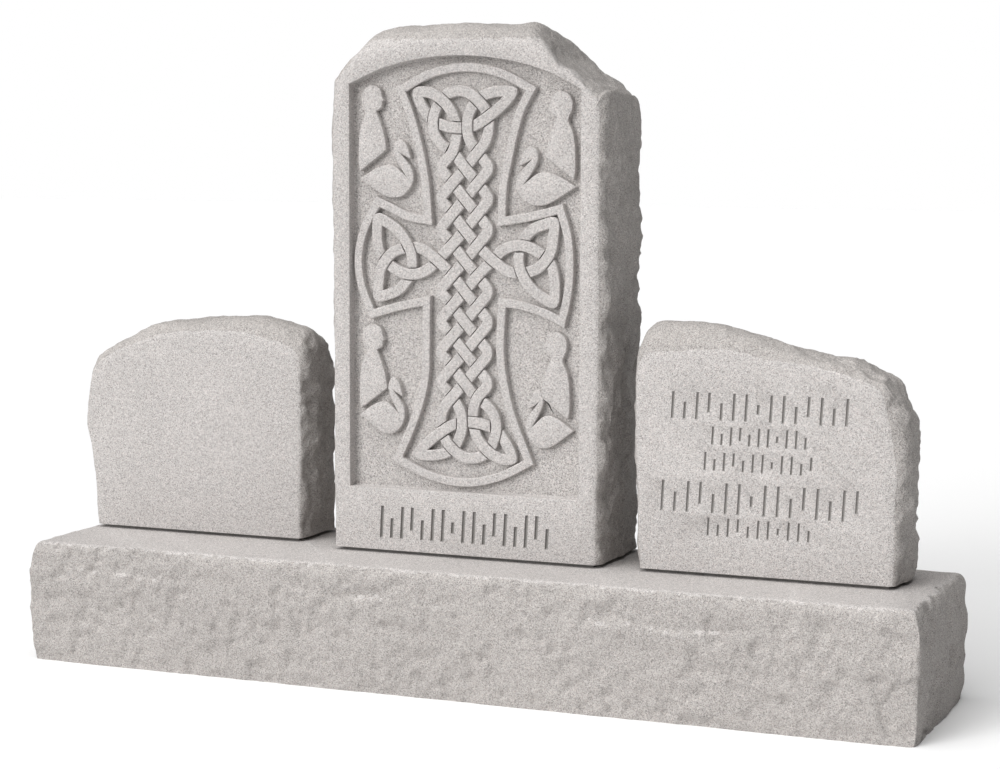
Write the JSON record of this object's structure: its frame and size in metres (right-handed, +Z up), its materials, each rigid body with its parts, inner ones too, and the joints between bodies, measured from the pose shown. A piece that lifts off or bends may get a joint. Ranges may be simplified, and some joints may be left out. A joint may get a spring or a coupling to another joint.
{
  "type": "celtic cross headstone",
  "caption": "Granite memorial on one long rock-pitched base: a tall centre stone with a knotwork cross in a sunk arched panel, between low side tablets.",
  "frame": {"origin": "underside of the base, under the middle of the whole memorial", "axes": "+X along the base to the right as seen from the front, -Y out of the carved face, +Z up"},
  "size_m": [1.534, 0.3656, 1.0703],
  "materials": {
    "granite": "steeled faces, sandblasted panel and rock-pitched sides in pale grey granite"
  },
  "bodies": {
    "root": {"base": "granite", "centre_stone": "granite", "left_tablet": "granite", "right_tablet": "granite"}
  },
  "joints": []
}
